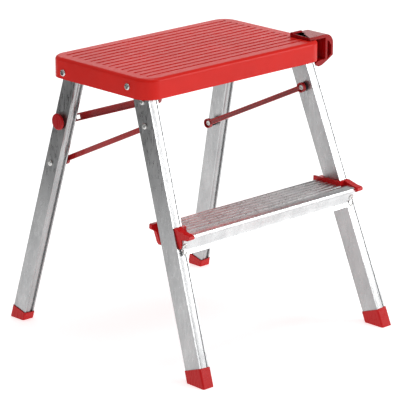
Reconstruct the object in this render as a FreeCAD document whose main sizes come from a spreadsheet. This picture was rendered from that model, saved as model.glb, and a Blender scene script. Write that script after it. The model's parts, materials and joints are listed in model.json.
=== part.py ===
import FreeCAD, Part
import Sketcher
import math
import os
import re
from FreeCAD import Placement, Rotation, Vector

# Folding two-step stool used as a mounting block.  X runs along the step, +Y points to the rear,
# +Z up.  The stool is laid out about its middle plane (x = 0); centre_x and centre_y then move
# every part so that the origin is the middle of the stool's footprint on the floor.

SIZES = {
    # front legs: a rectangular tube that leans back and splays out
    "front_toe": -256, "front_lean": 20.0, "front_splay": 3.71, "front_half": 221.2,
    "front_depth": 36, "leg_width": 20, "tube_wall": 1.6, "lip_width": 3, "lip_height": 0.8,
    "lip_groove": 1.1, "groove_sink": 0.9, "crown": 0.5,
    "front_start": 11, "front_trim": 470,
    # rear legs: a shallower tube that leans forward
    "rear_toe": 197.3, "rear_lean": 14.18, "rear_splay": 4.02, "rear_half": 221.5,
    "rear_depth": 30, "rear_start": 9,
    # feet: caps round the leg ends
    "foot_skin": 1.8, "front_foot_height": 26.6, "rear_foot_height": 17.5, "foot_edge": 3,
    # platform: a ribbed moulding with a deep skirt
    "top_height": 480, "plate": 4, "skirt": 35, "skirt_wall": 3, "half_width": 205,
    "plate_front": -106.2, "plate_rear": 138.1, "corner": 30, "rim": 6,
    "groove_count": 14, "groove_pitch": 15.2, "groove_width": 4.6, "groove_depth": 1.3,
    "groove_half": 184, "notch_low": 162, "notch_high": 199, "notch_height": 16, "notch_depth": 15,
    "rib_depth": 11, "rib_wall": 2.5, "rib_half": 146,
    # pivots, as places in the side view
    "main_y": -60, "main_z": 462.5, "hip_y": 99, "hip_z": 456,
    "brace_y": -88.9, "brace_z": 400, "elbow_y": 141, "elbow_z": 291,
    "lock_y": -80, "lock_z": 438.5, "catch_y": 121.3, "catch_z": 366.7,
    "pivot_radius": 4, "running_gap": 0.05, "side_gap": 0.35, "rivet_radius": 3,
    "head_radius": 5.8, "head_height": 2.8, "head_edge": 2.2, "head_gap": 0.45, "tail_radius": 4.4,
    "tail_height": 1.6, "tail_hole": 1.7, "top_reach": 7, "hip_reach": 12,
    # braces: pressed channels with a round eye at each end
    "brace_face": 170, "brace_sheet": 1.6, "brace_height": 9, "brace_flange": 6, "eye_radius": 8.6,
    "lock_face": 162.8, "lock_height": 13, "lock_flange": 7, "slot_travel": 8, "lock_tail": 24,
    # step: a ribbed tread on the leg fronts, with red end caps
    "tread_height": 240, "tread_plate": 2.4, "tread_nose": -197, "tread_rear": -115.5,
    "tread_wide": 191, "tread_narrow": 179.8, "tread_joint": -172.5, "fascia_sheet": 2.4,
    "fascia_wide": 199.5, "brow_back": 9, "brow_drop": 9, "fascia_fold": 213, "fascia_end": 204,
    "rear_lip": 24,
    "tread_rib_count": 7, "tread_rib_pitch": 10.6, "tread_rib_width": 5,
    "cap_rise": 7, "cap_wall": 4, "cap_strip": 5, "cap_outer": 203, "cap_tip": -203, "cap_tail": -107.5,
    "cap_tongue": 6.5, "step_rivet": 2.4, "step_head": 5.2, "step_rivet_x": 194.5,
    # lock button
    "button_radius": 14.2, "button_height": 3.2, "button_travel": 2.6, "button_gap": 1.1,
    "housing_radius": 9, "button_stem": 5.5, "housing_skin": 1.5,
    # side latch: a hooked slide at the platform's right edge
    "latch_front": -95, "latch_rear": -48, "latch_inner": 180, "latch_outer": 238,
    "latch_skin": 5.6, "latch_wall": 19, "latch_low": 447, "lip_low": 431.5, "lip_end": 194,
    "latch_travel": 8, "latch_clear": 0.35, "latch_seat": 0.6, "latch_round": 18, "screw_radius": 2,
    # where the footprint's middle lies
    "centre_x": -7.9, "centre_y": 13.9,
}

doc = FreeCAD.newDocument("step_stool")
sheet = doc.addObject("Spreadsheet::Sheet", "sizes")
for row, (alias, number) in enumerate(SIZES.items(), 1):
    sheet.set(f"A{row}", alias)
    sheet.set(f"B{row}", str(number))
    sheet.setAlias(f"B{row}", alias)
doc.recompute()

WORD = re.compile(r"[a-z][a-z_]+")
NORTH = Vector(0, 0, 1)
SIDES = {"left": -1, "right": 1}
nodes = []


def size(alias):
    """A driving dimension, read back from the sheet."""
    return float(sheet.get(alias))


def bound(text):
    """Point each alias in an expression at its cell."""
    return WORD.sub(lambda word: "sizes." * (word.group() in SIZES) + word.group(), text)


def tan(alias):
    return math.tan(math.radians(size(alias)))


def cos(alias):
    return math.cos(math.radians(size(alias)))


def sin(alias):
    return math.sin(math.radians(size(alias)))


# ---------------------------------------------------------------- building helpers

def new_body(name):
    return doc.addObject("PartDesign::Body", name)


def origin_plane(body, role):
    return next(item for item in body.Origin.OriginFeatures if item.Role == role)


def new_sketch(body, name, role, offset="0"):
    sketch = body.newObject("Sketcher::SketchObject", name)
    sketch.AttachmentSupport = (origin_plane(body, role), "")
    sketch.MapMode = "FlatFace"
    sketch.setExpression("AttachmentOffset.Base.z", bound(offset))
    return sketch


def add_outline(sketch, corners):
    """A closed outline whose every corner is tied to the sheet."""
    first = sketch.GeometryCount
    count = len(corners)
    spread = [Vector(math.cos(math.tau * k / count), math.sin(math.tau * k / count), 0) for k in range(count)]
    for k in range(count):
        sketch.addGeometry(Part.LineSegment(spread[k], spread[(k + 1) % count]), False)
    for k in range(count):
        following = first + (k + 1) % count
        sketch.addConstraint(Sketcher.Constraint("Coincident", first + k, 2, following, 1))
    for k, corner in enumerate(corners):
        for kind, text, now in zip(("DistanceX", "DistanceY"), corner, spread[k]):
            held = sketch.addConstraint(Sketcher.Constraint(kind, -1, 1, first + k, 1, now))
            sketch.setExpression(f"Constraints[{held}]", bound(text))


def add_circle(sketch, across, up, radius):
    circle = sketch.addGeometry(Part.Circle(Vector(1, 1, 0), NORTH, 1), False)
    for kind, text in (("DistanceX", across), ("DistanceY", up)):
        held = sketch.addConstraint(Sketcher.Constraint(kind, -1, 1, circle, 3, 1))
        sketch.setExpression(f"Constraints[{held}]", bound(text))
    held = sketch.addConstraint(Sketcher.Constraint("Radius", circle, 1))
    sketch.setExpression(f"Constraints[{held}]", bound(radius))


def extrude(body, kind, sketch, length, flip=False, both=False):
    """kind is Pad or Pocket; both spreads the length evenly about the sketch."""
    feature = body.newObject(f"PartDesign::{kind}", f"{sketch.Name}_{kind}")
    feature.Profile = sketch
    feature.setExpression("Length", bound(length))
    feature.Reversed = flip
    if both:
        feature.SideType = "Symmetric"
    sketch.Visibility = False
    doc.recompute()
    return feature


def round_edges(body, radius, test):
    """Fillet the edges of the body's tip that pass the test."""
    tip = body.Tip
    names = [f"Edge{k}" for k, edge in enumerate(tip.Shape.Edges, 1) if test(edge)]
    fillet = body.newObject("PartDesign::Fillet", f"{body.Name}_round")
    fillet.Base = (tip, names)
    fillet.setExpression("Radius", bound(radius))
    doc.recompute()
    return fillet


def corner_box(outer_x, low_y, high_y):
    return [(f"-({outer_x})", low_y), (outer_x, low_y), (outer_x, high_y), (f"-({outer_x})", high_y)]


def turned(name, outline, fillet=None, fillet_height=None):
    """A part turned about its own Z axis from (radius, height) corners."""
    body = new_body(name)
    sketch = new_sketch(body, f"{name}_half", "XZ_Plane")
    add_outline(sketch, outline)
    turn = body.newObject("PartDesign::Revolution", f"{name}_turn")
    turn.Profile = sketch
    turn.ReferenceAxis = (sketch, ["V_Axis"])
    turn.Angle = 360
    doc.recompute()
    if fillet:
        def on_top(edge):
            low, high = edge.BoundBox.ZMin, edge.BoundBox.ZMax
            return high - low < 0.01 and abs(high - fillet_height) < 0.01 and edge.BoundBox.XLength > 6
        round_edges(body, fillet, on_top)
    return body


def primitive(kind, name, place, **lengths):
    """A Part primitive with its lengths tied to the sheet."""
    item = doc.addObject(f"Part::{kind}", name)
    for prop, text in lengths.items():
        item.setExpression(prop, bound(text))
    item.Placement = place
    return item


def combine(kind, name, items):
    joined = doc.addObject(f"Part::{kind}", name)
    if kind == "Cut":
        joined.Base, joined.Tool = items
    else:
        joined.Shapes = items
    doc.recompute()
    return joined


def drilled(name, blank, holes):
    """The blank with the hole tools taken out of it."""
    tool = combine("MultiFuse", f"{name}_holes", holes) if len(holes) > 1 else holes[0]
    return combine("Cut", f"{name}_cut", (blank, tool))


def keep(item, label):
    """Name a finished piece and carry it to the stool's own origin."""
    item.Label = label
    moved = Placement(Vector(size("centre_x"), size("centre_y"), 0), Rotation())
    item.Placement = moved.multiply(item.Placement)
    nodes.append(item)


def along_x(side, x, y, z):
    """Local Z laid along X, pointing away from the middle plane."""
    return Placement(Vector(side * x, y, z), Rotation(NORTH, Vector(side, 0, 0)))


def hole_tool(name, side, x, y, z, radius, length):
    """A cylinder along X that starts at x from the middle plane and runs outward."""
    return primitive("Cylinder", name, along_x(side, x, y, z), Radius=radius, Height=length)


# ---------------------------------------------------------------- legs

def leg_place(end, side):
    """The frame of a leg: its origin where the tube's axis meets the floor, local Z up the tube."""
    forward = 1 if end == "front" else -1
    half_run = size(f"{end}_depth") / (2 * cos(f"{end}_lean"))
    foot = Vector(side * (size(f"{end}_half") - size("leg_width") / 2), size(f"{end}_toe") + half_run, 0)
    lean = Rotation(Vector(1, 0, 0), -forward * size(f"{end}_lean"))
    splay = Rotation(Vector(0, 1, 0), -side * size(f"{end}_splay"))
    return Placement(foot, lean.multiply(splay))


def run_to(end, y, z):
    """How far up the leg, along its axis, a pivot at y, z lies."""
    frame = leg_place(end, 1)
    axis = frame.Rotation.multVec(NORTH)
    x = size(f"{end}_half") - size("leg_width") / 2 - z * axis.x / -axis.z
    return axis.dot(Vector(x, y, z).sub(frame.Base))


def face_x(end, z, inner=False):
    """Distance of a leg's outer or inner face from the middle plane at height z."""
    slope = tan(f"{end}_splay") / cos(f"{end}_lean")
    return size(f"{end}_half") - slope * z - size("leg_width") * inner


def leg_tube(end, side, name, top):
    """The extruded tube: its crowned front is set between two lips, each with a groove beside it."""
    body = new_body(f"{name}_tube")
    sketch = new_sketch(body, f"{name}_section", "XY_Plane", f"{end}_start")
    half, deep = "leg_width / 2", f"{end}_depth / 2"
    across = [("lip_width", "0"), ("lip_width", "lip_height + groove_sink"),
              ("lip_width + lip_groove", "lip_height + groove_sink"),
              ("lip_width + lip_groove", "lip_height")]
    left = [(f"-{half} + {x}", f"-{deep} + {y}") for x, y in across]
    right = [(f"{half} - ({x})", f"-{deep} + {y}") for x, y in reversed(across)]
    add_outline(sketch, [(f"-{half}", deep), (f"-{half}", f"-{deep}"), *left,
                         ("0", f"-{deep} + lip_height - crown"), *right, (half, f"-{deep}"), (half, deep)])
    front_wall = f"-{deep} + lip_height + tube_wall"
    add_outline(sketch, corner_box(f"{half} - tube_wall", front_wall, f"{deep} - tube_wall"))
    extrude(body, "Pad", sketch, f"{top:.3f} - {end}_start")
    if end == "front":
        trim_front_top(body, name, top)
    body.Placement = leg_place(end, side)
    return body


def trim_front_top(body, name, top):
    """Level the front half of the tube's top so that it clears the plate."""
    rise = cos("front_lean") * cos("front_splay")
    half = size("front_depth") / 2
    toe = (size("front_trim") - half * sin("front_lean")) / rise
    back = (rise * top - size("front_trim")) / sin("front_lean")
    sketch = new_sketch(body, f"{name}_trim", "YZ_Plane")
    add_outline(sketch, [(f"-{half + 1}", f"{toe:.3f}"), (f"{back:.3f}", f"{top:.3f}"),
                         (f"{back:.3f}", f"{top + 1:.3f}"), (f"-{half + 1}", f"{top + 1:.3f}")])
    extrude(body, "Pocket", sketch, "leg_width * 2", both=True)


def pivot_liner(end, side, name, y, z, reach):
    """The moulded block inside a leg's top that carries the pivot rivet."""
    middle = run_to(end, y, z)
    inset = size("tube_wall") + 0.1
    across = size("leg_width") / 2 - inset
    deep = size(f"{end}_depth") / 2 - inset
    frame = leg_place(end, side)
    base = Vector(-across, -deep + size("lip_height"), middle - 14)
    spot = frame.multiply(Placement(base, Rotation()))
    block = primitive("Box", f"{name}_block", spot, Length=f"{2 * across:.3f}",
                      Width=f"{2 * deep - size('lip_height'):.3f}", Height=f"{14 + reach:.3f}")
    bore = hole_tool(f"{name}_bore", side, 150, y, z, "pivot_radius + running_gap", "50")
    keep(drilled(name, block, [bore]), name)


def leg_front(z):
    """Where the plane of the front legs' faces lies at height z."""
    return size("front_toe") + tan("front_lean") * z


def step_rivet_frames(side):
    """The two blind rivets at each end of the step, one on each face of the fascia, local Z outward."""
    skin = size("fascia_sheet") / cos("front_lean")
    end, fold = (Vector(0, leg_front(size(edge)) - skin, size(edge))
                 for edge in ("fascia_end", "fascia_fold"))
    brow = Vector(0, size("tread_nose") + size("brow_back"), size("tread_height") - size("brow_drop"))
    for low, high, share in ((fold, brow, 0.36), (end, fold, 0.47)):
        spot = low + (high - low) * share
        outward = Vector(1, 0, 0).cross(high - low)
        yield Placement(Vector(side * size("step_rivet_x"), spot.y, spot.z), Rotation(NORTH, outward))


def step_rivet_holes(name, side, reach):
    """Tools for the rivets' holes, from just in front of the fascia back through its reach."""
    tools = []
    for k, frame in enumerate(step_rivet_frames(side)):
        start = frame.multiply(Placement(Vector(0, 0, -reach), Rotation()))
        tools.append(primitive("Cylinder", f"{name}_{k}", start, Radius="step_rivet + running_gap",
                               Height=f"{reach + 3}"))
    return tools


def build_legs():
    for word, side in SIDES.items():
        name = f"front_leg_{word}"
        top = run_to("front", size("main_y"), size("main_z")) + size("top_reach")
        tube = leg_tube("front", side, name, top)
        holes = [
            hole_tool(f"{name}_main", side, 150, size("main_y"), size("main_z"),
                      "pivot_radius + running_gap", "60"),
            hole_tool(f"{name}_brace", side, 150, size("brace_y"), size("brace_z"), "rivet_radius", "60"),
            hole_tool(f"{name}_lock", side, 150, size("lock_y"), size("lock_z"), "rivet_radius",
                      "60" if word == "left" else "30")]
        holes += step_rivet_holes(f"{name}_step", side, 16)
        keep(drilled(name, tube, holes), name)
        pivot_liner("front", side, f"front_pivot_liner_{word}", size("main_y"), size("main_z"), 1.5)

        name = f"rear_leg_{word}"
        top = run_to("rear", size("hip_y"), size("hip_z")) + size("hip_reach")
        tube = leg_tube("rear", side, name, top)
        holes = [
            hole_tool(f"{name}_hip", side, 150, size("hip_y"), size("hip_z"),
                      "pivot_radius + running_gap", "60"),
            hole_tool(f"{name}_elbow", side, 150, size("elbow_y"), size("elbow_z"), "rivet_radius", "60")]
        if word == "left":
            holes.append(hole_tool(f"{name}_catch", side, 150, size("catch_y"), size("catch_z"),
                                   "housing_radius", "60"))
        keep(drilled(name, tube, holes), name)
        pivot_liner("rear", side, f"rear_pivot_liner_{word}", size("hip_y"), size("hip_z"), 8)


def build_feet():
    """Each foot is a cap on the leg's end, cut off level with the floor."""
    for end in ("front", "rear"):
        for word, side in SIDES.items():
            name = f"{end}_foot_{word}"
            body = new_body(f"{name}_cap")
            sketch = new_sketch(body, f"{name}_plan", "XY_Plane", "-20")
            half, deep = "leg_width / 2 + foot_skin", f"{end}_depth / 2 + foot_skin"
            add_outline(sketch, corner_box(half, f"-({deep})", deep))
            extrude(body, "Pad", sketch, f"{end}_foot_height + 20")
            round_edges(body, "foot_edge", lambda edge: edge.BoundBox.ZLength > 15)
            well = new_sketch(body, f"{name}_well", "XY_Plane", f"{end}_start")
            add_outline(well, corner_box("leg_width / 2", f"-{end}_depth / 2", f"{end}_depth / 2"))
            extrude(body, "Pocket", well, "60", flip=True)
            body.Placement = leg_place(end, side)
            below = Placement(Vector(side * 215 - 50, size(f"{end}_toe") - 60, -60), Rotation())
            floor = primitive("Box", f"{name}_floor", below, Length="100", Width="160", Height="60")
            keep(combine("Cut", f"{name}_cut", (body, floor)), name)


# ---------------------------------------------------------------- platform

def build_platform():
    body = new_body("platform_shell")
    rim = new_sketch(body, "platform_plan", "XY_Plane", "top_height - skirt")
    add_outline(rim, corner_box("half_width", "plate_front", "plate_rear"))
    extrude(body, "Pad", rim, "skirt")
    top = size("top_height")
    well = new_sketch(body, "platform_well", "XY_Plane", "top_height - skirt")
    add_outline(well, corner_box("half_width - skirt_wall", "plate_front + skirt_wall",
                                 "plate_rear - skirt_wall"))
    extrude(body, "Pocket", well, "skirt - plate", flip=True)
    inner = size("half_width") - size("skirt_wall")

    def well_corner(edge):
        upright = 25 < edge.BoundBox.ZLength < size("skirt") - 1
        return upright and abs(abs(edge.BoundBox.Center.x) - inner) < 0.01
    round_edges(body, "corner - skirt_wall", well_corner)
    round_edges(body, "corner", lambda edge: edge.BoundBox.ZLength > size("skirt") - 1)
    round_edges(body, "rim", lambda edge: edge.BoundBox.ZMin > top - 0.01)

    groove = new_sketch(body, "platform_groove", "XY_Plane", "top_height")
    start = "(plate_front + plate_rear) / 2 - (groove_count - 1) * groove_pitch / 2"
    add_outline(groove, corner_box("groove_half", f"{start} - groove_width / 2",
                                   f"{start} + groove_width / 2"))
    cut = extrude(body, "Pocket", groove, "groove_depth")
    row = body.newObject("PartDesign::LinearPattern", "platform_grooves")
    row.Originals = [cut]
    row.Direction = (groove, ["V_Axis"])
    row.setExpression("Length", bound("groove_pitch * (groove_count - 1)"))
    row.setExpression("Occurrences", bound("groove_count"))
    body.Tip = row
    doc.recompute()

    for word, side in SIDES.items():
        notch = new_sketch(body, f"platform_notch_{word}", "XZ_Plane", "-(plate_rear + 1)")
        add_outline(notch, [(f"{side} * notch_low", "top_height - skirt - 1"),
                            (f"{side} * notch_high", "top_height - skirt - 1"),
                            (f"{side} * notch_high", "top_height - skirt + notch_height"),
                            (f"{side} * notch_low", "top_height - skirt + notch_height")])
        extrude(body, "Pocket", notch, "notch_depth", flip=True)
    seat = new_sketch(body, "platform_seat", "XY_Plane", "top_height")
    add_outline(seat, [("latch_inner - 2", "latch_front - 1.5"), ("half_width + 5", "latch_front - 1.5"),
                       ("half_width + 5", "latch_rear + 1.5"), ("latch_inner - 2", "latch_rear + 1.5")])
    extrude(body, "Pocket", seat, "latch_seat")
    bores = new_sketch(body, "platform_bores", "YZ_Plane")
    for spot in ("main", "hip"):
        add_circle(bores, f"{spot}_y", f"{spot}_z", "pivot_radius")
    extrude(body, "Pocket", bores, "2 * half_width + 10", both=True)
    x, y, _ = screw_place().Base
    pilot = new_sketch(body, "platform_pilot", "XY_Plane", "top_height + 1")
    add_circle(pilot, f"{x:.3f}", f"{y:.3f}", "screw_radius")
    extrude(body, "Pocket", pilot, "20")
    keep(body, "platform_shell")


def build_platform_ribs():
    """The stiffening grid under the plate: four long ribs and two rows of ties between them."""
    low = size("top_height") - size("plate") - size("rib_depth")
    near, far = size("plate_front") + size("skirt_wall"), size("plate_rear") - size("skirt_wall")
    wall, step = size("rib_wall"), 2 * size("rib_half") / 3
    solids = []
    for k in range(4):
        x = -size("rib_half") + k * step
        solids.append(primitive("Box", f"rib_{k}", Placement(Vector(x - wall / 2, near, low), Rotation()),
                                Length="rib_wall", Width=f"{far - near:.3f}", Height="rib_depth"))
        for row, share in enumerate((0.3, 0.7)):
            if k == 3:
                continue
            y = near + share * (far - near)
            spot = Placement(Vector(x + wall / 2, y - wall / 2, low), Rotation())
            solids.append(primitive("Box", f"tie_{k}_{row}", spot, Length=f"{step:.3f} - rib_wall",
                                    Width="rib_wall", Height="rib_depth"))
    grid = doc.addObject("Part::Compound", "platform_ribs_grid")
    grid.Links = solids
    doc.recompute()
    keep(grid, "platform_ribs")


def screw_place():
    """The guide screw stands near the outer end of the latch's slot, so that the latch can be drawn out."""
    x = size("latch_inner") + 8 + size("latch_travel")
    return Placement(Vector(x, size("latch_rear") - 12, size("top_height")), Rotation())


def build_pivots():
    """Rivets through skirt, spacer and leg; each spacer keeps the leg off the skirt."""
    for end, spot in (("front", "main"), ("rear", "hip")):
        y, z = size(f"{spot}_y"), size(f"{spot}_z")
        outer = face_x(end, z)
        tail = face_x(end, z, inner=True) - 1.5
        for word, side in SIDES.items():
            name = f"{end}_pivot_rivet_{word}"
            head = size("half_width") - tail
            rivet = turned(name, [("0", "-2"), ("pivot_radius + 2", "-2"), ("pivot_radius + 2", "0"),
                                  ("pivot_radius", "0"), ("pivot_radius", f"{head:.3f}"),
                                  ("head_radius", f"{head:.3f}"),
                                  ("head_radius", f"{head:.3f} + head_height"),
                                  ("0", f"{head:.3f} + head_height")], "head_edge", head + size("head_height"))
            rivet.Placement = along_x(side, tail, y, z)
            keep(rivet, name)
            name = f"{end}_pivot_spacer_{word}"
            inner_end = outer + 1.1
            length = size("half_width") - size("skirt_wall") - inner_end
            spacer = turned(name, [("pivot_radius", "0"), ("pivot_radius + 4", "0"),
                                   ("pivot_radius + 4", f"{length:.3f}"), ("pivot_radius", f"{length:.3f}")])
            spacer.Placement = along_x(side, inner_end, y, z)
            keep(spacer, name)


# ---------------------------------------------------------------- braces

def link_place(side, face, first, second):
    """Local X from the first pivot to the second, local Z towards the middle plane."""
    run = Vector(0, size(f"{second}_y") - size(f"{first}_y"), size(f"{second}_z") - size(f"{first}_z"))
    axis_z = Vector(-side, 0, 0)
    turn = Rotation(run, axis_z.cross(run), axis_z, "XZY")
    return Placement(Vector(side * size(face), size(f"{first}_y"), size(f"{first}_z")), turn), run.Length


def channel(name, side, face, first, second, height, flange, open_inward, beyond, slot):
    """A pressed channel that widens into a round pan at each pivot; a rim follows its whole edge."""
    place, length = link_place(side, face, first, second)
    depth, sheet_size = size(flange), size("brace_sheet")
    web = 0 if open_inward else depth - sheet_size
    hollow = sheet_size if open_inward else -1
    pan = size("eye_radius")

    def at(x, y, z):
        return place.multiply(Placement(Vector(x, y, z), Rotation()))

    def bar(part, start, end, half, low, tall):
        return primitive("Box", f"{name}_{part}", at(start, -half, low), Length=f"{end - start:.3f}",
                         Width=f"{2 * half:.3f}", Height=f"{tall:.3f}")

    half = size(height) / 2
    far = length + beyond
    outer = [bar("bar", 0, far, half, 0, depth)]
    room = depth - sheet_size + 1
    inner = [bar("channel", 0, far - sheet_size * (beyond > 0), half - sheet_size, hollow, room)]
    for k, x in enumerate((0,) if beyond else (0, length)):
        outer.append(primitive("Cylinder", f"{name}_pan{k}", at(x, 0, 0), Radius="eye_radius", Height=flange))
        inner.append(primitive("Cylinder", f"{name}_bowl{k}", at(x, 0, hollow),
                               Radius="eye_radius - brace_sheet", Height=f"{room:.3f}"))
    blank = combine("MultiFuse", f"{name}_blank", outer)
    holes = [primitive("Cylinder", f"{name}_bore", at(0, 0, web - 5),
                       Radius="rivet_radius + running_gap", Height="12")]
    if slot:
        start = length - size("slot_travel")
        holes.append(bar("slot", start, length + 3, size("rivet_radius") + 0.4, web - 5, 12))
    else:
        holes.append(primitive("Cylinder", f"{name}_end", at(length, 0, web - 5),
                               Radius="rivet_radius + running_gap", Height="12"))
    keep(drilled(name, blank, inner + holes), name)


def hollow_tail(corner_height):
    """The turned-over end of a tubular rivet, from its axis outward."""
    return [("0", "tail_height * 0.6"), ("tail_hole", "tail_height * 0.6"), ("tail_hole + 0.5", "0"),
            ("tail_radius", "0"), ("tail_radius", "tail_height"), ("rivet_radius", "tail_height"),
            ("rivet_radius", corner_height)]


def through_rivet(name, side, end, spot, inner, tailed):
    """A rivet fixed in a leg: domed head outside, shank through to the inner end and a hollow tail."""
    y, z = size(f"{spot}_y"), size(f"{spot}_z")
    head = f"{face_x(end, z) - inner:.3f} + head_gap"
    shank = hollow_tail(head) if tailed else [("0", "0"), ("rivet_radius", "0"), ("rivet_radius", head)]
    top = face_x(end, z) - inner + size("head_gap") + size("head_height")
    rivet = turned(name, shank + [("head_radius - 0.6", head), ("head_radius - 0.6", f"{head} + head_height"),
                                  ("0", f"{head} + head_height")], "head_edge", top)
    rivet.Placement = along_x(side, inner, y, z)
    keep(rivet, name)


def short_rivet(name, side, inner, y, z, shank):
    """A blind rivet of which only the hollow tail and a short shank exist."""
    rivet = turned(name, hollow_tail(f"tail_height + {shank}") + [("0", f"tail_height + {shank}")])
    rivet.Placement = along_x(side, inner, y, z)
    keep(rivet, name)


def spacer_ring(name, side, spot, low, high):
    """A washer stack round a rivet, between a leg's inner face and a link."""
    ring = turned(name, [("rivet_radius", "0"), ("rivet_radius + 3.5", "0"),
                         ("rivet_radius + 3.5", f"{high - low:.3f}"), ("rivet_radius", f"{high - low:.3f}")])
    ring.Placement = along_x(side, low, size(f"{spot}_y"), size(f"{spot}_z"))
    keep(ring, name)


def build_braces():
    gap, sheet_gap, tail = size("side_gap"), size("brace_sheet"), size("tail_height")
    face, lock = size("brace_face"), size("lock_face")
    for word, side in SIDES.items():
        channel(f"brace_{word}", side, "brace_face", "brace", "elbow", "brace_height", "brace_flange",
                True, 0, False)
        through_rivet(f"brace_rivet_front_{word}", side, "front", "brace",
                      face - sheet_gap - gap - tail, True)
        spacer_ring(f"brace_spacer_front_{word}", side, "brace", face + gap,
                    face_x("front", size("brace_z") + 6.5, inner=True) - 0.1)
        through_rivet(f"brace_rivet_rear_{word}", side, "rear", "elbow", face + gap, False)
        spacer_ring(f"brace_spacer_rear_{word}", side, "elbow", face + gap,
                    face_x("rear", size("elbow_z") + 6.5, inner=True) - 0.1)
        short_rivet(f"brace_pin_rear_{word}", side, face - sheet_gap - tail, size("elbow_y"), size("elbow_z"),
                    "brace_sheet")
    channel("lock_bar", -1, "lock_face", "lock", "catch", "lock_height", "lock_flange", False,
            size("lock_tail"), True)
    inner_web = lock - size("lock_flange")
    through_rivet("lock_bar_rivet", -1, "front", "lock", inner_web - gap - tail, True)
    spacer_ring("lock_bar_spacer", -1, "lock", inner_web + sheet_gap + gap,
                face_x("front", size("lock_z") + 6.5, inner=True) - 0.1)
    stop = face_x("front", size("lock_z"), inner=True) - tail - 0.35
    short_rivet("stop_rivet_right", 1, stop, size("lock_y"), size("lock_z"), "4")


# ---------------------------------------------------------------- lock button

def build_button():
    """A sprung plunger in a bush that crosses the left rear leg."""
    y, z = size("catch_y"), size("catch_z")
    outer, inner = face_x("rear", z), face_x("rear", z, inner=True)
    bush = turned("button_housing", [
        ("button_stem + 0.35", "-1.6"), ("housing_radius", "-1.6"),
        ("housing_radius", f"{outer - inner:.3f} - 1"),
        ("housing_radius - housing_skin", f"{outer - inner:.3f} - 1"),
        ("housing_radius - housing_skin", "2"), ("button_stem + 0.35", "2")])
    bush.Placement = along_x(-1, inner, y, z)
    keep(bush, "button_housing")
    reach = outer - inner + size("button_gap")
    button = turned("lock_button", [
        ("0", "-5"), ("button_stem", "-5"), ("button_stem", f"{reach:.3f} + button_travel"),
        ("button_radius", f"{reach:.3f} + button_travel"),
        ("button_radius", f"{reach:.3f} + button_travel + button_height"),
        ("0", f"{reach:.3f} + button_travel + button_height")],
        "head_edge", reach + size("button_travel") + size("button_height"))
    button.Placement = along_x(-1, inner, y, z)
    keep(button, "lock_button")
    coil_low, coil_high = 2.4, reach + size("button_travel") - 0.7
    pitch, wire = 3.0, 0.5
    coil_radius = size("button_stem") + 1.05
    helix = Part.makeHelix(pitch, coil_high - coil_low, coil_radius)
    start = Vector(coil_radius, 0, 0)
    ring = Part.Wire([Part.makeCircle(wire, start, Vector(0, 1, 0.08))])
    spring = doc.addObject("Part::Feature", "button_spring")
    spring.Shape = Part.Wire(helix.Edges).makePipeShell([ring], True, True)
    spring.Placement = along_x(-1, inner + coil_low, y, z)
    keep(spring, "button_spring")


# ---------------------------------------------------------------- step

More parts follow.
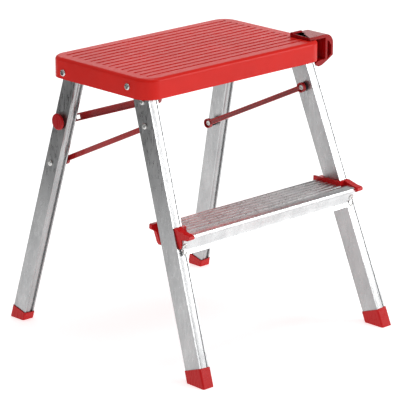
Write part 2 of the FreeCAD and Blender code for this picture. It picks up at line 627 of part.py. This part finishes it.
def build_step():
    """One extrusion in two widths: a nosed front across the legs and a ribbed rear between them."""
    body = new_body("step_blank")
    plane = f"front_toe + {tan('front_lean'):.5f} *"
    skin = size("fascia_sheet") / cos("front_lean")
    brow, under = "tread_nose + brow_back", "tread_height - brow_drop"
    inside = f"{brow} + {skin:.3f}"
    nose = new_sketch(body, "step_nose", "YZ_Plane")
    add_outline(nose, [
        ("tread_joint", "tread_height - 1.4"), ("tread_nose + 3.5", "tread_height"),
        ("tread_nose + 1", "tread_height - 1.6"), ("tread_nose", "tread_height - 4.2"),
        ("tread_nose + 1", f"{under} + 2"), ("tread_nose + 3.5", f"{under} + 0.3"), (brow, under),
        (inside, under), (inside, "tread_height - 1.4 - tread_plate"),
        ("tread_joint", "tread_height - 1.4 - tread_plate")])
    extrude(body, "Pad", nose, "2 * tread_wide", both=True)
    fascia = new_sketch(body, "step_fascia", "YZ_Plane")
    add_outline(fascia, [
        (brow, f"{under} + 0.2"), (f"{plane} fascia_fold - {skin:.3f}", "fascia_fold"),
        (f"{plane} fascia_end - {skin:.3f}", "fascia_end"), (f"{plane} fascia_end - 0.05", "fascia_end"),
        (f"{plane} (fascia_fold + 0.6) - 0.05", "fascia_fold + 0.6"), (inside, f"{under} + 0.2")])
    extrude(body, "Pad", fascia, "2 * fascia_wide", both=True)
    rear = new_sketch(body, "step_rear", "YZ_Plane")
    add_outline(rear, [
        ("tread_joint", "tread_height - 1.4"), ("tread_joint", "tread_height - 1.4 - tread_plate"),
        ("tread_rear - tread_plate", "tread_height - 1.4 - tread_plate"),
        ("tread_rear - tread_plate", "tread_height - rear_lip"), ("tread_rear", "tread_height - rear_lip"),
        ("tread_rear", "tread_height - 1.4")])
    extrude(body, "Pad", rear, "2 * tread_narrow", both=True)
    rib = new_sketch(body, "step_rib", "YZ_Plane")
    add_outline(rib, [
        ("tread_rear", "tread_height - 1.4"), ("tread_rear", "tread_height - 0.4"),
        ("tread_rear - 0.8", "tread_height"), ("tread_rear - tread_rib_width + 0.8", "tread_height"),
        ("tread_rear - tread_rib_width", "tread_height - 1.4")])
    ridge = extrude(body, "Pad", rib, "2 * tread_narrow", both=True)
    row = body.newObject("PartDesign::LinearPattern", "step_ribs")
    row.Originals = [ridge]
    row.Direction = (rib, ["H_Axis"])
    row.Reversed = True
    row.setExpression("Length", bound("tread_rib_pitch * (tread_rib_count - 2)"))
    row.setExpression("Occurrences", bound("tread_rib_count - 1"))
    body.Tip = row
    doc.recompute()
    wide = new_sketch(body, "step_front_rib", "YZ_Plane")
    add_outline(wide, [
        ("tread_joint - 5.2", "tread_height - 1.4"), ("tread_joint - 6", "tread_height"),
        ("tread_joint - 9.4", "tread_height"), ("tread_joint - 10.2", "tread_height - 1.4")])
    extrude(body, "Pad", wide, "2 * tread_wide", both=True)
    holes = [tool for word, side in SIDES.items() for tool in step_rivet_holes(f"step_hole_{word}", side, 5)]
    keep(drilled("step_tread", body, holes), "step_tread")


def build_step_rivets():
    """Blind rivets with a hollow middle, two at each end of the step."""
    for word, side in SIDES.items():
        group = []
        for k, frame in enumerate(step_rivet_frames(side)):
            rivet = turned(f"step_rivet_{word}{k}", [
                ("0", "-13"), ("step_rivet", "-13"), ("step_rivet", "0.1"), ("step_head", "0.1"),
                ("step_head - 0.5", "1.3"), ("step_rivet", "1.7"), ("1.6", "0.5"), ("0", "0.5")])
            rivet.Placement = frame
            group.append(rivet)
        pair = doc.addObject("Part::Compound", f"step_rivets_{word}_pair")
        pair.Links = group
        doc.recompute()
        keep(pair, f"step_rivets_{word}")


def build_end_caps():
    """Red caps: a plate along the leg's inner face, a tongue behind the leg and a nose block in front."""
    plane = f"front_toe + {tan('front_lean'):.5f} *"
    high, front = "tread_height + cap_rise", f"{plane} (tread_height + cap_rise) - 0.3"
    low = "tread_height - brow_drop + 0.4"
    outlines = {
        "plate": ([
            (f"{front} - cap_strip", high), ("cap_tail", f"{high} - 2"), ("cap_tail", "tread_height - 38"),
            ("cap_tail - cap_tongue", "tread_height - 38"),
            ("cap_tail - cap_tongue - 4", "tread_height - 24"),
            (f"{front} - cap_strip", "tread_height - 24")],
            "tread_narrow + 0.05", "tread_narrow + 0.05 + cap_wall"),
        "strip": ([
            (f"{front} - cap_strip", high), (front, high),
            (f"{plane} (tread_height - 1.3) - 0.3", "tread_height - 1.3"),
            (f"{front} - cap_strip", "tread_height - 1.3")],
            "tread_narrow + 0.05", "cap_outer"),
        "nose": ([
            (f"{front} - cap_strip + 1", high), ("cap_tip + 13", "tread_height + 2"),
            ("cap_tip + 3", "tread_height + 1"), ("cap_tip + 0.8", "tread_height - 0.4"),
            ("cap_tip", "tread_height - 2.5"), ("cap_tip + 0.8", "tread_height - 5.2"),
            ("cap_tip + 4.5", "tread_height - 7.5"), ("cap_tip + 15", low), (f"{plane} ({low}) - 0.3", low),
            (f"{plane} (tread_height - 1.3) - 0.3", "tread_height - 1.3")],
            "tread_wide + 0.05", "cap_outer"),
        "side": ([
            (f"{plane} ({low} + 1) - 0.3", f"{low} + 1"), ("cap_tip + 18", f"{low} + 1"),
            ("cap_tip + 20", low), ("cap_tip + 22", "tread_height - 25"),
            (f"{plane} (tread_height - 26) - 0.3", "tread_height - 26")],
            "fascia_wide + 0.1", "cap_outer")}
    for word, side in SIDES.items():
        name = f"step_end_cap_{word}"
        body = new_body(name)
        for part, (corners, near, far) in outlines.items():
            sketch = new_sketch(body, f"{name}_{part}", "YZ_Plane", f"{side} * ({near})")
            add_outline(sketch, corners)
            extrude(body, "Pad", sketch, f"({far}) - ({near})", flip=side < 0)
        tongue = new_sketch(body, f"{name}_tongue", "XZ_Plane", "-cap_tail")
        add_outline(tongue, [(f"{side} * ({x})", f"tread_height + ({z})") for x, z in (
            ("tread_narrow + 0.1", "-38"), ("tread_narrow + 6", "-35"), ("cap_outer - 10", "-13"),
            ("cap_outer - 1.5", "-8"), ("cap_outer", "-6"), ("cap_outer", "0"),
            ("cap_outer - 1.5", "1.5"), ("tread_narrow + 0.1", "1.5"))])
        extrude(body, "Pad", tongue, "cap_tongue")
        keep(body, name)


# ---------------------------------------------------------------- side latch

def build_latch():
    """A hooked slide: its plate lies on the rim, its box wall hangs outside the skirt."""
    body = new_body("side_latch_blank")
    base = "top_height - latch_seat + latch_clear"
    top = f"{base} + latch_skin"
    wall = "latch_outer - latch_wall"
    hook = new_sketch(body, "latch_hook", "XZ_Plane", "-latch_front")
    add_outline(hook, [
        ("latch_inner", base), ("latch_inner", top), ("latch_outer", top), ("latch_outer", "latch_low"),
        ("latch_outer - 17", "lip_low + 6"), ("lip_end + 16", "lip_low + 1"), ("lip_end + 9", "lip_low"),
        ("lip_end + 2.5", "lip_low + 3"), ("lip_end", "lip_low + 6.5"), ("lip_end + 0.8", "lip_low + 8"),
        ("lip_end + 13", "lip_low + 11"), (wall, "lip_low + 11"), (wall, base)])
    extrude(body, "Pad", hook, "latch_rear - latch_front", flip=True)
    outer = size("latch_outer")
    crown = size("top_height") - size("latch_seat") + size("latch_clear") + size("latch_skin")
    round_edges(body, "latch_round", lambda edge: edge.BoundBox.YLength > 20 and edge.BoundBox.XLength < 0.01
                and abs(edge.BoundBox.Center.x - outer) < 0.01 and abs(edge.BoundBox.Center.z - crown) < 0.01)
    recess = new_sketch(body, "latch_recess", "XZ_Plane", "-latch_front")
    add_outline(recess, [
        (f"{wall} + 5", "lip_low + 10"), (f"{wall} + 5", "top_height - 6"), (f"{wall} + 9", "top_height - 8"),
        ("latch_outer - 5", "top_height - 15"), ("latch_outer - 5", "latch_low + 2")])
    extrude(body, "Pocket", recess, "12")
    ridge = new_sketch(body, "latch_ridge", "YZ_Plane", "latch_inner")
    add_outline(ridge, [
        ("latch_rear", f"{top} - 1"), ("latch_rear", f"{top} + 1.2"), ("latch_rear - 1.5", f"{top} + 2.4"),
        ("latch_rear - 5", f"{top} + 2.4"), ("latch_rear - 7.5", f"{top} - 1")])
    extrude(body, "Pad", ridge, "24")
    x, y, z = screw_place().Base
    clear, travel = size("latch_clear"), size("latch_travel")
    screw = size("screw_radius")
    for part, half, low in (("slot", screw + clear, -3), ("sink", screw + 2.6, 2.6)):
        groove = new_sketch(body, f"latch_{part}", "XY_Plane", f"{z + low:.3f}")
        start, end = x - travel - half - clear, x + half
        add_outline(groove, [(f"{across:.3f}", f"{along:.3f}") for across, along in (
            (start, y - half), (end, y - half), (end, y + half), (start, y + half))])
        extrude(body, "Pocket", groove, "12", flip=True)
    keep(body, "side_latch")
    screw = turned("latch_screw", [
        ("0", "-8"), ("screw_radius", "-8"), ("screw_radius", "3"), ("screw_radius + 2", "3"),
        ("screw_radius + 2", "4.6"), ("0", "4.6")])
    screw.Placement = screw_place()
    keep(screw, "latch_screw")


# ---------------------------------------------------------------- make, check and write

build_legs()
build_feet()
build_platform()
build_platform_ribs()
build_pivots()
build_braces()
build_button()
build_step()
build_step_rivets()
build_end_caps()
build_latch()
doc.recompute()

faults = [f"{item.Name}: {item.State}" for item in doc.Objects if {"Invalid", "Error"} & set(item.State)]
faults += [item.Label for item in nodes if item.Shape.isNull() or not item.Shape.isValid()]
if faults:
    raise SystemExit("\n".join(faults))
os.makedirs("parts", exist_ok=True)
for item in nodes:
    item.Shape.exportStep(f"parts/{item.Label}.step")
    print(f"{item.Label}: {len(item.Shape.Solids)} solid, {item.Shape.Volume:.0f} mm3")
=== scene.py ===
import json
import math

import bmesh
import bpy
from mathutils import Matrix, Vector


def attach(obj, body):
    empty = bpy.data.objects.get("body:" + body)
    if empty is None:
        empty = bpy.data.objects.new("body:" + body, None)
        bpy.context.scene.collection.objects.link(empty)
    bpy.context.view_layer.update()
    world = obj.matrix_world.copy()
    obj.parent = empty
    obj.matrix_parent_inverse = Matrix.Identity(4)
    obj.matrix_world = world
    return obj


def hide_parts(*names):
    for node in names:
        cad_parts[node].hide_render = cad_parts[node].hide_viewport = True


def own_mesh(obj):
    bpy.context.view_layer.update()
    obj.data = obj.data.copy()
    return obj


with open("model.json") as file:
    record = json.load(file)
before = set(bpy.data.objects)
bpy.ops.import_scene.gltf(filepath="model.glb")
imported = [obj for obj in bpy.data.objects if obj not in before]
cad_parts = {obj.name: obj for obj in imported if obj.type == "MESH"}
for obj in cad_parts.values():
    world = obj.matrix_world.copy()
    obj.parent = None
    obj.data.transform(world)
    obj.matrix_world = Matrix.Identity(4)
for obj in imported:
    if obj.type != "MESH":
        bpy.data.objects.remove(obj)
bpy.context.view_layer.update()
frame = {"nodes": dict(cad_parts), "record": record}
NODES = frame["nodes"]


# ---------------------------------------------------------------- node helpers

class Shader:
    """A material's node tree with short calls for the nodes used here."""

    def __init__(self, name):
        self.material = bpy.data.materials.new(name)
        self.material.use_nodes = True
        self.tree = self.material.node_tree
        self.surface = self.tree.nodes["Principled BSDF"]

    def node(self, kind, **values):
        made = self.tree.nodes.new(f"ShaderNode{kind}")
        for key, value in values.items():
            setattr(made, key, value)
        return made

    def link(self, source, target):
        self.tree.links.new(source, target)

    def fixed(self, **values):
        for key, value in values.items():
            self.surface.inputs[key.replace("_", " ")].default_value = value

    def place(self, turn=(0, 0, 0), scale=(1, 1, 1)):
        """Object coordinates, turned and stretched."""
        coordinates = self.node("TexCoord")
        mapping = self.node("Mapping")
        mapping.inputs["Rotation"].default_value = turn
        mapping.inputs["Scale"].default_value = scale
        self.link(coordinates.outputs["Object"], mapping.inputs["Vector"])
        return mapping.outputs["Vector"]

    def noise(self, where, scale, detail=4.0, roughness=0.55):
        made = self.node("TexNoise")
        made.inputs["Scale"].default_value = scale
        made.inputs["Detail"].default_value = detail
        made.inputs["Roughness"].default_value = roughness
        self.link(where, made.inputs["Vector"])
        return made.outputs["Fac"]

    def spread(self, value, low, high, to_low=0.0, to_high=1.0):
        made = self.node("MapRange")
        limits = {"From Min": low, "From Max": high, "To Min": to_low, "To Max": to_high}
        for key, number in limits.items():
            made.inputs[key].default_value = number
        self.link(value, made.inputs["Value"])
        return made.outputs["Result"]

    def blend(self, amount, first, second):
        made = self.node("Mix", data_type="RGBA")
        factor, colour_a, colour_b = (made.inputs[k] for k in (0, 6, 7))
        for socket, item in ((factor, amount), (colour_a, first), (colour_b, second)):
            if hasattr(item, "links"):
                self.link(item, socket)
            else:
                socket.default_value = (*item, 1) if isinstance(item, tuple) else item
        return made.outputs[2]

    def maths(self, operation, first, second=0.0):
        made = self.node("Math", operation=operation)
        for socket, item in zip(made.inputs, (first, second)):
            if hasattr(item, "links"):
                self.link(item, socket)
            else:
                socket.default_value = item
        return made.outputs[0]

    def bump(self, height, distance, strength=1.0, below=None):
        made = self.node("Bump")
        made.inputs["Distance"].default_value = distance
        made.inputs["Strength"].default_value = strength
        self.link(height, made.inputs["Height"])
        if below is not None:
            self.link(below, made.inputs["Normal"])
        return made.outputs["Normal"]


def wear(mesh_object, material):
    mesh_object.data.materials.clear()
    mesh_object.data.materials.append(material)


# ---------------------------------------------------------------- materials

def moulded_red(name, colour, roughness, grain=900.0):
    """Moulded plastic: fine spark-eroded grain, faint mottling and handling marks."""
    shade = Shader(name)
    where = shade.place()
    cloud = shade.noise(where, 9, 3)
    darker = tuple(part * 0.86 for part in colour)
    tint = shade.blend(shade.spread(cloud, 0.3, 0.7), darker, colour)
    shade.link(tint, shade.surface.inputs["Base Color"])
    scuffs = shade.noise(shade.place(scale=(1, 6, 1)), 60, 5, 0.7)
    gloss = shade.spread(scuffs, 0.35, 0.75, roughness - 0.06, roughness + 0.12)
    shade.link(gloss, shade.surface.inputs["Roughness"])
    fine = shade.bump(shade.noise(where, grain, 2), 0.00012, 0.5)
    shade.link(shade.bump(cloud, 0.0006, 0.25, fine), shade.surface.inputs["Normal"])
    shade.fixed(Specular_IOR_Level=0.22)
    return shade.material


def drawn_aluminium(name, turn, tone=0.54, rough=0.30, along=(700, 700, 6)):
    """Extruded aluminium: die lines along the section, soft oxide clouds and shop scuffs."""
    shade = Shader(name)
    lines = shade.noise(shade.place(turn, along), 1, 3, 0.6)
    cloud = shade.noise(shade.place(turn, (34, 34, 12)), 1, 5, 0.6)
    scuff = shade.noise(shade.place(turn, (260, 260, 90)), 1, 4, 0.65)
    tint = shade.spread(shade.maths("ADD", cloud, shade.maths("MULTIPLY", lines, 0.45)), 0.45, 1.0)
    low = (tone * 0.70, tone * 0.71, tone * 0.72)
    high = (tone, tone * 1.005, tone * 1.01)
    shade.link(shade.blend(tint, low, high), shade.surface.inputs["Base Color"])
    rubbed = shade.spread(scuff, 0.35, 0.7, -0.05, 0.12)
    lined = shade.spread(lines, 0.3, 0.7, rough - 0.06, rough + 0.08)
    gloss = shade.maths("ADD", rubbed, lined)
    shade.link(gloss, shade.surface.inputs["Roughness"])
    shade.link(shade.bump(lines, 0.00005, 0.35), shade.surface.inputs["Normal"])
    shade.fixed(Metallic=1.0)
    return shade.material


def plated_steel(name):
    """Bright rivet steel with tooling swirl and small dents."""
    shade = Shader(name)
    where = shade.place()
    marks = shade.noise(where, 420, 4, 0.6)
    shade.link(shade.blend(shade.spread(marks, 0.3, 0.7), (0.52, 0.52, 0.51), (0.80, 0.80, 0.78)),
               shade.surface.inputs["Base Color"])
    shade.link(shade.spread(marks, 0.3, 0.7, 0.16, 0.32), shade.surface.inputs["Roughness"])
    shade.link(shade.bump(marks, 0.0001, 0.35), shade.surface.inputs["Normal"])
    shade.fixed(Metallic=1.0)
    return shade.material


def powder_coat(name, colour):
    """Red powder coat over pressed steel: orange peel and a few rubbed spots."""
    shade = Shader(name)
    where = shade.place()
    peel = shade.noise(where, 520, 2)
    cloud = shade.noise(where, 26, 4)
    darker = tuple(part * 0.72 for part in colour)
    tint = shade.blend(shade.spread(cloud, 0.3, 0.7), darker, colour)
    shade.link(tint, shade.surface.inputs["Base Color"])
    shade.link(shade.spread(peel, 0.3, 0.7, 0.24, 0.38), shade.surface.inputs["Roughness"])
    shade.link(shade.bump(peel, 0.00015, 0.4), shade.surface.inputs["Normal"])
    shade.fixed(Coat_Weight=0.25, Coat_Roughness=0.15)
    return shade.material


FRONT_LEAN = math.radians(20.0)
REAR_LEAN = math.radians(-14.18)
MATERIALS = {
    "platform": moulded_red("platform_red", (0.76, 0.012, 0.006), 0.34),
    "cap": moulded_red("cap_red", (0.60, 0.008, 0.010), 0.28),
    "latch": moulded_red("latch_red", (0.36, 0.004, 0.006), 0.26),
    "button": moulded_red("button_red", (0.46, 0.004, 0.008), 0.28),
    "front_leg": drawn_aluminium("front_leg_aluminium", (FRONT_LEAN, 0, 0)),
    "rear_leg": drawn_aluminium("rear_leg_aluminium", (REAR_LEAN, 0, 0)),
    "step": drawn_aluminium("step_aluminium", (0, math.pi / 2, 0), 0.80, 0.30),
    "rivet": plated_steel("rivet_steel"),
    "brace": powder_coat("brace_red", (0.44, 0.008, 0.010)),
    "liner": moulded_red("black_moulding", (0.035, 0.035, 0.038), 0.5),
}
# words in a node's name, its material, its slot in the record, and the rounding of its edges in metres
FINISHES = (
    ("front_leg", "front_leg", "leg_aluminium", 0), ("rear_leg", "rear_leg", "leg_aluminium", 0),
    ("step_tread", "step", "step_aluminium", 0), ("foot", "cap", "cap_red", 0.0009),
    ("end_cap", "cap", "cap_red", 0.0009), ("rivet", "rivet", "rivet_steel", 0.0002),
    ("pin_rear", "rivet", "rivet_steel", 0.0002), ("screw", "rivet", "rivet_steel", 0.0002),
    ("spring", "rivet", "rivet_steel", 0), ("liner", "liner", "black_plastic", 0.0004),
    ("spacer", "liner", "black_plastic", 0.0003), ("platform_ribs", "platform", "platform_red", 0.0003),
    ("platform_shell", "platform", "platform_red", 0.0004), ("side_latch", "latch", "latch_red", 0.0012),
    ("lock_button", "button", "button_red", 0.0005), ("housing", "button", "button_red", 0.0004),
    ("brace", "brace", "brace_red", 0.0004), ("lock_bar", "brace", "brace_red", 0.0004))
BODIES = frame["record"]["behaviour"]["bodies"]
BODY_OF = {node: body for body, members in BODIES.items() for node in members}
SHARP = math.radians(32)
FLAT = math.radians(0.6)
SAME_POINT = 1e-6


def finish_for(node):
    return next(row[1:] for row in FINISHES if row[0] in node)


def refined(node, width):
    """The node's shape, smooth shaded with its flat faces joined up. Sharp edges are rounded by width."""
    shape = bmesh.new()
    shape.from_mesh(NODES[node].data)
    bmesh.ops.remove_doubles(shape, verts=shape.verts, dist=SAME_POINT)
    bmesh.ops.dissolve_limit(shape, angle_limit=FLAT, verts=shape.verts, edges=shape.edges)
    mesh = bpy.data.meshes.new(f"{node}_shape")
    shape.to_mesh(mesh)
    shape.free()
    mesh.shade_smooth()
    mesh.set_sharp_from_angle(angle=SHARP)
    piece = bpy.data.objects.new(f"{node}_skin", mesh)
    bpy.context.scene.collection.objects.link(piece)
    if not width:
        return piece
    rounding = piece.modifiers.new("rounding", "BEVEL")
    rounding.width = width
    rounding.segments = 2
    rounding.limit_method = "ANGLE"
    rounding.angle_limit = SHARP
    rounding.harden_normals = True
    rounding.use_clamp_overlap = True
    flats = piece.modifiers.new("flats", "WEIGHTED_NORMAL")
    flats.keep_sharp = True
    flats.weight = 100
    return piece


for node in sorted(NODES):
    look, slot, width = finish_for(node)
    piece = refined(node, width)
    wear(piece, MATERIALS[look])
    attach(piece, BODY_OF[node])
    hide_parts(node)
    if node == "button_spring":
        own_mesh(piece)


# ---------------------------------------------------------------- studio

FLOOR_RADIUS = 14
FLOOR_DROP = 0.0005
FLOOR_DARK = (0.84, 0.84, 0.84)
FLOOR_PALE = (0.88, 0.88, 0.88)
FLOOR_GLOW = 0.62
SKY_STRENGTH = 0.36


def build_floor():
    bpy.ops.mesh.primitive_circle_add(vertices=96, radius=FLOOR_RADIUS, fill_type="NGON",
                                      location=(0, 0, -FLOOR_DROP))
    floor = bpy.context.object
    floor.name = "studio_floor"
    shade = Shader("floor_paper")
    cloud = shade.noise(shade.place(), 3, 2)
    paper = shade.blend(cloud, FLOOR_DARK, FLOOR_PALE)
    shade.link(paper, shade.surface.inputs["Base Color"])
    shade.fixed(Roughness=0.8, Emission_Color=(1, 1, 1, 1), Emission_Strength=FLOOR_GLOW)
    wear(floor, shade.material)


def build_card(name, place, aim, width, height, grey):
    """A dark studio card that only reflections meet."""
    bpy.ops.mesh.primitive_plane_add(size=1, location=place)
    card = bpy.context.object
    card.name = name
    card.scale = (width, height, 1)
    card.rotation_euler = (Vector(aim) - Vector(place)).to_track_quat("Z", "Y").to_euler()
    card.visible_camera = False
    card.visible_shadow = False
    card.visible_diffuse = False
    shade = Shader(f"{name}_felt")
    felt = shade.noise(shade.place(), 30, 3)
    shade.link(shade.blend(felt, (grey, grey, grey), (grey * 1.3, grey * 1.3, grey * 1.3)),
               shade.surface.inputs["Base Color"])
    shade.fixed(Roughness=0.9)
    wear(card, shade.material)


def area_light(name, place, aim, size, power):
    data = bpy.data.lights.new(name, "AREA")
    data.shape = "RECTANGLE"
    data.size, data.size_y = size
    data.energy = power
    lamp = bpy.data.objects.new(name, data)
    bpy.context.scene.collection.objects.link(lamp)
    lamp.location = place
    lamp.visible_camera = False
    lamp.rotation_euler = (Vector(aim) - Vector(place)).to_track_quat("-Z", "Y").to_euler()


def build_lights():
    world = bpy.data.worlds.new("studio")
    bpy.context.scene.world = world
    world.use_nodes = True
    background = world.node_tree.nodes["Background"]
    background.inputs["Color"].default_value = (1, 1, 1, 1)
    background.inputs["Strength"].default_value = SKY_STRENGTH
    area_light("key", (1.9, -2.1, 1.0), (0, 0, 0.25), (1.3, 0.9), 23)
    area_light("top", (0.3, -0.2, 2.6), (0, 0, 0), (1.2, 1.2), 21)
    area_light("rear", (1.85, 1.9, 0.95), (0, 0, 0.25), (1.6, 1.1), 5)
    build_card("left_card", (-0.95, 1.0, 0.16), (0, 0.05, 0.16), width=2.6, height=0.42, grey=0.05)
    bpy.context.scene.view_settings.view_transform = "Standard"


CAMERA_AIM = Vector((0.0051, 0.0139, 0.2118))
CAMERA_DISTANCE = 4.335
CAMERA_TURN = math.radians(-43.493)
CAMERA_RISE = math.radians(17.128)
CAMERA_LENS = 227.8


def build_camera():
    data = bpy.data.cameras.new("camera")
    data.lens = CAMERA_LENS
    data.sensor_width = 36
    camera = bpy.data.objects.new("camera", data)
    bpy.context.scene.collection.objects.link(camera)
    back = Vector((math.sin(CAMERA_TURN) * math.cos(CAMERA_RISE),
                   -math.cos(CAMERA_TURN) * math.cos(CAMERA_RISE), math.sin(CAMERA_RISE)))
    camera.location = CAMERA_AIM + back * CAMERA_DISTANCE
    camera.rotation_euler = back.to_track_quat("Z", "Y").to_euler()
    bpy.context.scene.camera = camera


build_floor()
build_lights()
build_camera()
